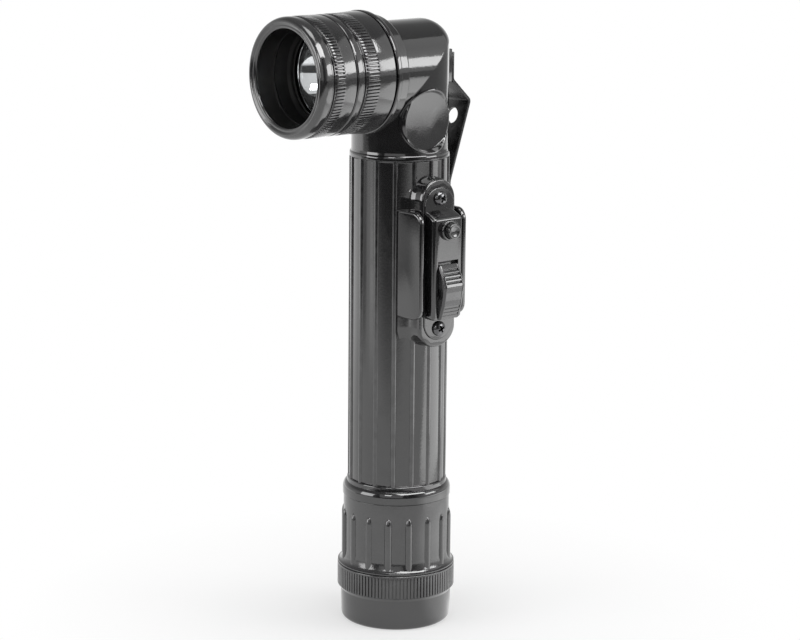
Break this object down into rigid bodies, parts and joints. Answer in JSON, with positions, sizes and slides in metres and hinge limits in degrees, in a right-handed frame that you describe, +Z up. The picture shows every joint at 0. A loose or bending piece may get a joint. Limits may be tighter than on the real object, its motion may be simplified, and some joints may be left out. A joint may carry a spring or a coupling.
{
  "type": "angle head flashlight",
  "caption": "Right-angle pocket flashlight with ribbed barrel, knurled head rings and tail caps, slide switch with signal button, and belt clip.",
  "frame": {"origin": "middle of the foot's flat face, on the barrel's axis", "axes": "+Z up the barrel, the head looks along -Y, the switch is on +X, the clip on +Y"},
  "size_m": [0.0372, 0.0561, 0.1582],
  "materials": {
    "case_plastic": "glossy black moulded plastic",
    "cap_plastic": "satin black moulded plastic",
    "control_plastic": "black moulded plastic",
    "sealing_rubber": "soft black",
    "contact_brass": "plain strip",
    "spring_steel": "bright wire",
    "screw_steel": "blackened steel",
    "clip_steel": "black coated spring steel",
    "reflector_chrome": "mirror",
    "bulb_glass": "clear",
    "lens_clear": "clear moulded disc",
    "board_laminate": "brown laminate",
    "cell_can": "printed can",
    "filter_red": "tinted clear",
    "filter_blue": "tinted clear",
    "filter_frosted": "frosted"
  },
  "bodies": {
    "case": {"case": "case_plastic", "lower_cell": "cell_can", "upper_cell": "cell_can", "lamp_contact": "contact_brass", "return_strip": "contact_brass", "tail_strip": "contact_brass", "switch_board": "board_laminate", "contact_studs": "contact_brass", "switch_gasket": "sealing_rubber", "switch_cover": "case_plastic", "switch_screws": "screw_steel", "button_bush": "control_plastic", "button_spring": "spring_steel", "clip": "clip_steel", "clip_rivets": "clip_steel", "reflector": "reflector_chrome", "bulb_base": "contact_brass", "bulb_glass": "bulb_glass", "bulb_filament": "spring_steel", "bulb_retainer": "contact_brass", "head_gasket": "sealing_rubber", "tail_gasket": "sealing_rubber"},
    "slider": {"slide_switch": "control_plastic", "slide_contact": "contact_brass"},
    "button": {"signal_button": "control_plastic", "button_contact": "contact_brass"},
    "lens_carrier": {"lens": "lens_clear", "lens_gasket": "sealing_rubber"},
    "lens_ring": {"lens_ring": "cap_plastic"},
    "filter_carrier": {"filter_gasket": "sealing_rubber"},
    "filter_ring": {"filter_ring": "cap_plastic"},
    "tail_carrier": {"tail_spring": "spring_steel", "tail_contact": "contact_brass"},
    "tail_cap": {"tail_cap": "cap_plastic", "foot_gasket": "sealing_rubber"},
    "foot_carrier": {"red_filter": "filter_red", "blue_filter": "filter_blue", "frosted_filter": "filter_frosted"},
    "foot_cap": {"foot_cap": "cap_plastic"}
  },
  "joints": [
    {"name": "slide_switch_move", "type": "slide", "parent": "case", "child": "slider", "axis": [0, 0, 1], "range_m": [-0.0035, 0]},
    {"name": "signal_button_press", "type": "slide", "parent": "case", "child": "button", "axis": [-1, 0, 0], "range_m": [0, 0.001], "stiffness_N_per_m": 900, "springref_m": -0.0005, "deforming": ["button_spring"]},
    {"name": "lens_ring_travel", "type": "slide", "parent": "case", "child": "lens_carrier", "axis": [0, -1, 0], "range_m": [0, 0.0085]},
    {"name": "lens_ring_turn", "type": "hinge", "parent": "lens_carrier", "child": "lens_ring", "pos_m": [0, -0.0194, 0.1429], "axis": [0, -1, 0], "range_deg": [0, 1531]},
    {"name": "filter_ring_travel", "type": "slide", "parent": "lens_ring", "child": "filter_carrier", "axis": [0, -1, 0], "range_m": [0, 0.0045]},
    {"name": "filter_ring_turn", "type": "hinge", "parent": "filter_carrier", "child": "filter_ring", "pos_m": [0, -0.0312, 0.1429], "axis": [0, -1, 0], "range_deg": [0, 811]},
    {"name": "tail_cap_travel", "type": "slide", "parent": "case", "child": "tail_carrier", "axis": [0, 0, -1], "range_m": [0, 0.0095]},
    {"name": "tail_cap_turn", "type": "hinge", "parent": "tail_carrier", "child": "tail_cap", "pos_m": [0, 0, 0.024], "axis": [0, 0, -1], "range_deg": [0, 1711]},
    {"name": "foot_cap_travel", "type": "slide", "parent": "tail_cap", "child": "foot_carrier", "axis": [0, 0, -1], "range_m": [0, 0.0075]},
    {"name": "foot_cap_turn", "type": "hinge", "parent": "foot_carrier", "child": "foot_cap", "pos_m": [0, 0, 0.0074], "axis": [0, 0, -1], "range_deg": [0, 1351]}
  ],
  "couplings": [
    {"joint": "lens_ring_turn", "follows": "lens_ring_travel", "rad_per_m": 3141.6},
    {"joint": "filter_ring_turn", "follows": "filter_ring_travel", "rad_per_m": 3141.6},
    {"joint": "tail_cap_turn", "follows": "tail_cap_travel", "rad_per_m": 3141.6},
    {"joint": "foot_cap_turn", "follows": "foot_cap_travel", "rad_per_m": 3141.6}
  ]
}
